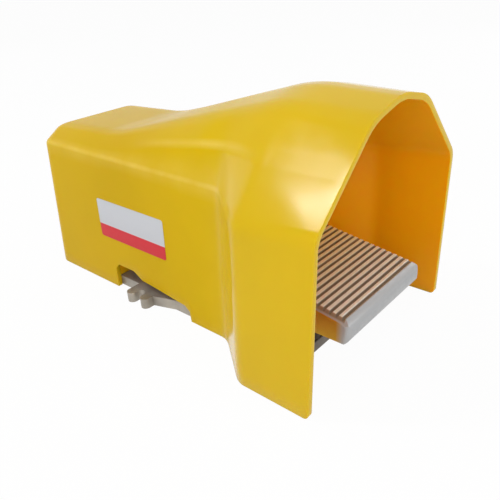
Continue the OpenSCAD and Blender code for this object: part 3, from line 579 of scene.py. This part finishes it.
def guard_rings(inset):
    """Sections along the length, then the turn into the rear wall, each with its share of painted highlight.
    """
    ring_pitch, turn_rings, sharp = 2.5, 10, 0.02
    turn_y = rear_y - rear_r
    places = set(np.round(np.arange(mouth_y, turn_y, ring_pitch), 3)) | {turn_y}
    places |= {mouth_y + d for d in (0.15, 0.5, 1, 1.7, 2.4, mouth_corner_r)}
    places |= {y for y, _ in notch_edge[1:-1] if y != notch_middle}
    places |= {end + d for end in (notch_front, notch_rear) for d in (-sharp, sharp)}
    rings = [list(zip(whole_section(y, inset, y), edge_highlight(y))) for y in sorted(places)]
    radius = rear_r - inset
    turn = [(inset + radius * (1 - math.cos(angle)), turn_y + radius * math.sin(angle))
            for angle in np.radians(np.linspace(0, 90, turn_rings + 1)[1:])]
    for set_in, y_place in turn + [(rear_r + rear_flat, turn_y + radius)]:
        rings.append(list(zip(whole_section(turn_y, set_in, y_place), edge_highlight(turn_y))))
    return rings


def mould_guard():
    """Outer and inner skin, joined along the mouth and the lower edges and closed at the rear."""
    mesh = bmesh.new()
    # Share of painted highlight at each point, kept on the mesh
    highlight_layer = mesh.verts.layers.float.new("edge_highlight")
    outer_rings = guard_rings(0)
    outer = [[mesh.verts.new(Vector(place) * mm) for place, _ in ring] for ring in outer_rings]
    inner = [[mesh.verts.new(Vector(place) * mm) for place, _ in ring] for ring in guard_rings(wall)]
    for points, ring in zip(outer, outer_rings):
        for point, (_, highlight_share) in zip(points, ring):
            point[highlight_layer] = highlight_share
    count = len(outer[0])
    for a, b in zip(outer, outer[1:]):
        for j in range(count - 1):
            mesh.faces.new((a[j], a[j + 1], b[j + 1], b[j]))
    for a, b in zip(inner, inner[1:]):
        for j in range(count - 1):
            mesh.faces.new((a[j], b[j], b[j + 1], a[j + 1])).material_index = 1
    for j in range(count - 1):
        mesh.faces.new((outer[0][j], inner[0][j], inner[0][j + 1], outer[0][j + 1]))
    for j in (0, count - 1):
        for i in range(len(outer) - 1):
            mesh.faces.new((outer[i][j], outer[i + 1][j], inner[i + 1][j], inner[i][j]))
    mesh.faces.new(outer[-1])
    mesh.faces.new(inner[-1]).material_index = 1
    mesh.faces.new((outer[-1][0], outer[-1][-1], inner[-1][-1], inner[-1][0]))
    return keep_mesh("guard_shell", mesh)


def hose_cutter():
    """Arched prism through the rear wall, wide enough for the hose fittings."""
    gap_w, gap_h, arch_r, arch_points, past, clear = 68, 60, 14, 13, 5, 1
    mesh = bmesh.new()
    outline = [(-gap_w / 2, -past)]
    outline += [(-gap_w / 2 + arch_r - arch_r * math.cos(t), gap_h - arch_r + arch_r * math.sin(t))
                for t in np.linspace(0, math.pi / 2, arch_points)]
    outline += [(-x, z) for x, z in reversed(outline)]
    ends = (rear_y - rear_r - rear_lean - wall + clear, rear_y + past)
    skin(mesh, [[mesh.verts.new(Vector((x, y, z)) * mm) for x, z in outline] for y in ends])
    return keep_mesh("hose_cutter", mesh, smooth=False)


# The inside is painted a deeper orange than the outside's yellow, for the light through and round the wall
yellow, painted_inner_orange = (0.675, 0.45, 0.004), (0.83, 0.405, 0.001)
# Pale yellow painted highlight along the box's shoulders and neck
painted_edge_highlight = (0.84, 0.62, 0.13)
# Multiplied in towards the rear, making the yellow darker and deeper there
rear_tint, rear_tint_y = (0.93, 0.89, 1.0), (-40 * mm, 20 * mm)
gloss, rear_gloss, rear_scuff, scuff_y = 0.17, 0.05, 0.085, (-65 * mm, -35 * mm)
plastic_ior, light_reach = 1.45, (1.0, 0.4, 0.03)


def moulded_plastic(name, colour, roughness, glow_through):
    """Glossy plastic whose wall lets red light through best, as far as glow_through says."""
    plastic = new_finish(name, colour, roughness)
    shader_of(plastic).inputs["IOR"].default_value = plastic_ior
    shader_of(plastic).inputs["Subsurface Weight"].default_value = glow_through
    shader_of(plastic).inputs["Subsurface Radius"].default_value = light_reach
    shader_of(plastic).inputs["Subsurface Scale"].default_value = 2 * wall * mm
    moulded = tint(plastic, speckle(plastic, 14, detail=4),
                   [(0.3, shade(colour, 0.95)), (0.5, colour), (0.72, shade(colour, 1.04))])
    towards_rear = spread(plastic, along(plastic, "Y"), 0, 1, *rear_tint_y)
    rear_tinted = lay_over(plastic, towards_rear, moulded, rear_tint, "MULTIPLY")
    # Painted highlight along the shoulder and neck edges, from the share kept on the mesh
    highlight_share = add_node(plastic, "ShaderNodeAttribute")
    highlight_share.attribute_name = "edge_highlight"
    highlight_mask = work_out(plastic, "MULTIPLY", highlight_share.outputs["Fac"],
                      spread(plastic, speckle(plastic, 60, detail=4), 0.3, 0.75))
    feed(plastic, "Base Color", lay_over(plastic, highlight_mask, rear_tinted, painted_edge_highlight))
    feed(plastic, "Specular IOR Level", spread(plastic, along(plastic, "Y"), gloss, rear_gloss, *scuff_y))
    scuffed = spread(plastic, along(plastic, "Y"), 0, rear_scuff, *scuff_y)
    uneven = spread(plastic, speckle(plastic, 90, detail=5), roughness - 0.02, roughness + 0.03)
    feed(plastic, "Roughness", work_out(plastic, "ADD", scuffed, uneven))
    raise_grain(plastic, speckle(plastic, 30, detail=1), depth=0.1 * mm, strength=0.06)
    return plastic


guard_outside = moulded_plastic("guard_outside", yellow, roughness=0.14, glow_through=0.2)
# The inside skin is the same plastic, with its painted orange
guard_inside = moulded_plastic("guard_inside", painted_inner_orange, roughness=0.42, glow_through=0.85)

guard_shell = mould_guard()
cutter = hose_cutter()
for piece in (guard_shell, cutter):
    piece.data.materials.append(guard_outside)
    piece.data.materials.append(guard_inside)
opening = guard_shell.modifiers.new("hose_opening", "BOOLEAN")
opening.object = cutter
opening.operation = "DIFFERENCE"
opening.solver = "EXACT"
bpy.context.view_layer.update()
cut_guard = guard_shell.evaluated_get(bpy.context.evaluated_depsgraph_get())
cut_mesh = bpy.data.meshes.new_from_object(cut_guard)
guard_shell.modifiers.clear()
guard_shell.data = cut_mesh
bpy.data.objects.remove(cutter)
soften(guard_shell, 0.7 * mm, angle=50)
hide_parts("guard")
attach(guard_shell, "frame")

# Bosses and return walls: moulded in one with the guard, inside its side walls.
# Four columns take the screws that come up through the base, two short walls close the notches
# at their rear.
boss_half, boss_x, boss_ys, boss_z = 4.2, 39.426, {"front": -24.6, "rear": 103.0}, (7.0, 33.0)
pilot_r, pilot_z = 2.02, 22.0
return_x, return_y, return_z, return_corner_r = (35.05, 45.65), (53.9, 57.1), (7.3, 21.7), 0.8

# Loops of a boss and of a return wall from below, in millimetres: set-in, a boss's corner radius, height
boss_steps = ((0.0, 1.2, boss_z[0]), (0.1, 1.2, boss_z[1] - 0.8), (0.35, 1.0, boss_z[1] - 0.25),
              (0.9, 0.6, boss_z[1]))
return_steps = ((0.5, return_z[0]), (0.0, return_z[0] + 0.5), (0.0, return_z[1] - 0.7),
                (0.2, return_z[1] - 0.2), (0.7, return_z[1]))


def round_outline(middle, half, radius):
    """Points round a rectangle with round corners, anticlockwise."""
    points = []
    for quarter, (sx, sy) in enumerate(((1, 1), (-1, 1), (-1, -1), (1, -1))):
        for t in np.linspace(0, math.pi / 2, corner_points):
            angle = quarter * math.pi / 2 + t
            points.append((middle[0] + sx * (half[0] - radius) + radius * math.cos(angle),
                           middle[1] + sy * (half[1] - radius) + radius * math.sin(angle)))
    return points


def level_loop(mesh, middle, half, radius, z):
    """A rectangle with round corners at one height, as points of a mesh."""
    return [mesh.verts.new(Vector((x, y, z)) * mm) for x, y in round_outline(middle, half, radius)]


def mould_boss(name, middle):
    """Square column with round corners and a thinner top, with the screw's pilot hole from below."""
    mesh = bmesh.new()
    loops = [level_loop(mesh, middle, (pilot_r, pilot_r), pilot_r, z) for z in (pilot_z, boss_z[0])]
    for set_in, radius, z in boss_steps:
        loops.append(level_loop(mesh, middle, (boss_half - set_in, boss_half - set_in), radius, z))
    skin(mesh, loops)
    return keep_mesh(name, mesh)


def mould_return(name, side):
    """Short upright wall with round corners, which starts inside the guard's own wall."""
    middle = (side * (return_x[0] + return_x[1]) / 2, (return_y[0] + return_y[1]) / 2)
    half = ((return_x[1] - return_x[0]) / 2, (return_y[1] - return_y[0]) / 2)
    mesh = bmesh.new()
    skin(mesh, [level_loop(mesh, middle, (half[0] - set_in, half[1] - set_in), return_corner_r, z)
                for set_in, z in return_steps])
    return keep_mesh(name, mesh)


for side, hand in ((-1, "left"), (1, "right")):
    inner_pieces = [mould_boss("boss_" + hand + "_" + end, (side * boss_x, y)) for end, y in boss_ys.items()]
    inner_pieces.append(mould_return("notch_return_" + hand, side))
    for piece in inner_pieces:
        # The bosses and return walls take the inside's painted orange as well
        piece.data.materials.append(guard_inside)
        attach(piece, "frame")

# Label: a plain vinyl sticker, white with a red band along its lower third.
# It is die-cut with small round corners and stuck on the guard's left wall.
label_y, label_z, label_corner_r = (-1.7, 63.3), (37.5, 64.4), 1.6
label_gap, label_t = 0.02, 0.18
label_band_z, band_reach = 46.7, 10
label_white, label_red = (0.55, 0.565, 0.605), (0.62, 0.012, 0.025)


def stick_label():
    """Thin plate that follows the wall's draft."""
    middle = ((label_y[0] + label_y[1]) / 2, (label_z[0] + label_z[1]) / 2)
    half = ((label_y[1] - label_y[0]) / 2, (label_z[1] - label_z[0]) / 2)
    outline = round_outline(middle, half, label_corner_r)
    mesh = bmesh.new()
    skin(mesh, [[mesh.verts.new(Vector((-(floor_x(y) - draft * z) - proud, y, z)) * mm) for y, z in outline]
                for proud in (label_gap, label_t)])
    return keep_mesh("label", mesh, smooth=False)


vinyl = new_finish("vinyl", label_white, roughness=0.35)
shader_of(vinyl).inputs["Specular IOR Level"].default_value = 0.3
band = spread(vinyl, along(vinyl, "Z"), 0, 1,
              (label_band_z - band_reach) * mm, (label_band_z + band_reach) * mm)
feed(vinyl, "Base Color",
     tint(vinyl, band, [(0.0, shade(label_red, 0.95)), (0.495, label_red), (0.505, label_white),
                        (1.0, shade(label_white, 1.03))]))
feed(vinyl, "Roughness", spread(vinyl, speckle(vinyl, 240, detail=4), 0.28, 0.42))
raise_grain(vinyl, speckle(vinyl, 700, detail=2), depth=0.02 * mm, strength=0.3)
label = stick_label()
label.data.materials.append(vinyl)
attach(label, "frame")

# Studio: a wide white floor, soft lamps all round, and the camera of the photograph.
# The camera's place and turn were fitted to the guard's corners in the picture.
floor_half, floor_drop = 6, 0.1 * mm
floor_mesh = bmesh.new()
bmesh.ops.create_grid(floor_mesh, x_segments=4, y_segments=4, size=floor_half)
studio_floor = keep_mesh("studio_floor", floor_mesh)
studio_floor.location.z = -floor_drop


def seen_plainly(owner):
    """1 for what the camera sees by itself, in a mirror or through glass."""
    path = add_node(owner, "ShaderNodeLightPath")
    seen = path.outputs["Is Camera Ray"]
    for way in ("Is Glossy Ray", "Is Transmission Ray"):
        seen = work_out(owner, "MAXIMUM", seen, path.outputs[way])
    return seen


paper_white, paper_glow = (0.88, 0.88, 0.88), 0.96
paper = new_finish("paper", paper_white, roughness=0.9)
glow = add_node(paper, "ShaderNodeEmission", Strength=1.0)
floor_mix = add_node(paper, "ShaderNodeMixShader")
join(paper, spread(paper, seen_plainly(paper), 0, paper_glow, 0, 1), floor_mix.inputs["Fac"])
join(paper, shader_of(paper).outputs["BSDF"], floor_mix.inputs[1])
join(paper, glow.outputs["Emission"], floor_mix.inputs[2])
join(paper, floor_mix.outputs["Shader"], paper.node_tree.nodes["Material Output"].inputs["Surface"])
studio_floor.data.materials.append(paper)

air_light, air_seen = 0.4, 1.0
world = bpy.data.worlds.new("studio_air")
bpy.context.scene.world = world
world.use_nodes = True
air = world.node_tree.nodes["Background"]
air.inputs["Color"].default_value = (1, 1, 1, 1)
join(world, spread(world, seen_plainly(world), air_light, air_seen, 0, 1), air.inputs["Strength"])


def hang_lamp(name, place, aim, size, power):
    """A flat lamp, sized in metres, that faces the point it is aimed at."""
    lamp = bpy.data.lights.new(name, "AREA")
    lamp.shape = "RECTANGLE"
    lamp.size, lamp.size_y = size
    lamp.energy = power
    holder = bpy.data.objects.new(name, lamp)
    bpy.context.scene.collection.objects.link(holder)
    holder.location = place
    holder.rotation_euler = (Vector(aim) - Vector(place)).to_track_quat("-Z", "Y").to_euler()


hang_lamp("window_left", (-0.8, -0.6, 0.6), (0, -0.05, 0.06), (0.7, 0.7), 4.25)
hang_lamp("window_front", (0.15, -1.3, 0.7), (0, 0, 0.06), (0.9, 0.7), 4.2)
hang_lamp("chamfer_lamp", (-0.423, 0.414, 0.874), (-0.056, -0.119, 0.109), (0.085, 0.22), 2.8)
hang_lamp("top_lamp", (0.1, 0.1, 1.4), (0, 0, 0), (1.0, 1.0), 0.9)
hang_lamp("window_side", (-1.15, 0.35, 0.5), (0, 0, 0.08), (0.7, 0.7), 0.4)
hang_lamp("window_right", (1.15, -0.15, 0.6), (0, 0, 0.07), (0.7, 0.7), 2.4)
hang_lamp("window_rear", (0.0, 1.35, 0.5), (0, 0.05, 0.06), (1.0, 0.8), 1.8)

focal_px, picture_px, sensor_mm = 559.41, 500, 36
camera_place = Vector((-0.236167, -0.24256, 0.201168))
camera_right = Vector((0.6477937, -0.7599565, -0.0531926))
camera_down = Vector((-0.3862931, -0.2674931, -0.8827373))
camera_forward = Vector((0.6566133, 0.5923796, -0.4668463))
camera_turn = Matrix((camera_right, -camera_down, -camera_forward)).transposed().to_4x4()
camera_data = bpy.data.cameras.new("photo_camera")
camera_data.sensor_width = sensor_mm
camera_data.lens = focal_px / picture_px * sensor_mm
camera_data.clip_start = 0.01
camera = bpy.data.objects.new("photo_camera", camera_data)
bpy.context.scene.collection.objects.link(camera)
camera.matrix_world = Matrix.Translation(camera_place) @ camera_turn
bpy.context.scene.camera = camera
bpy.context.scene.view_settings.view_transform = "Standard"
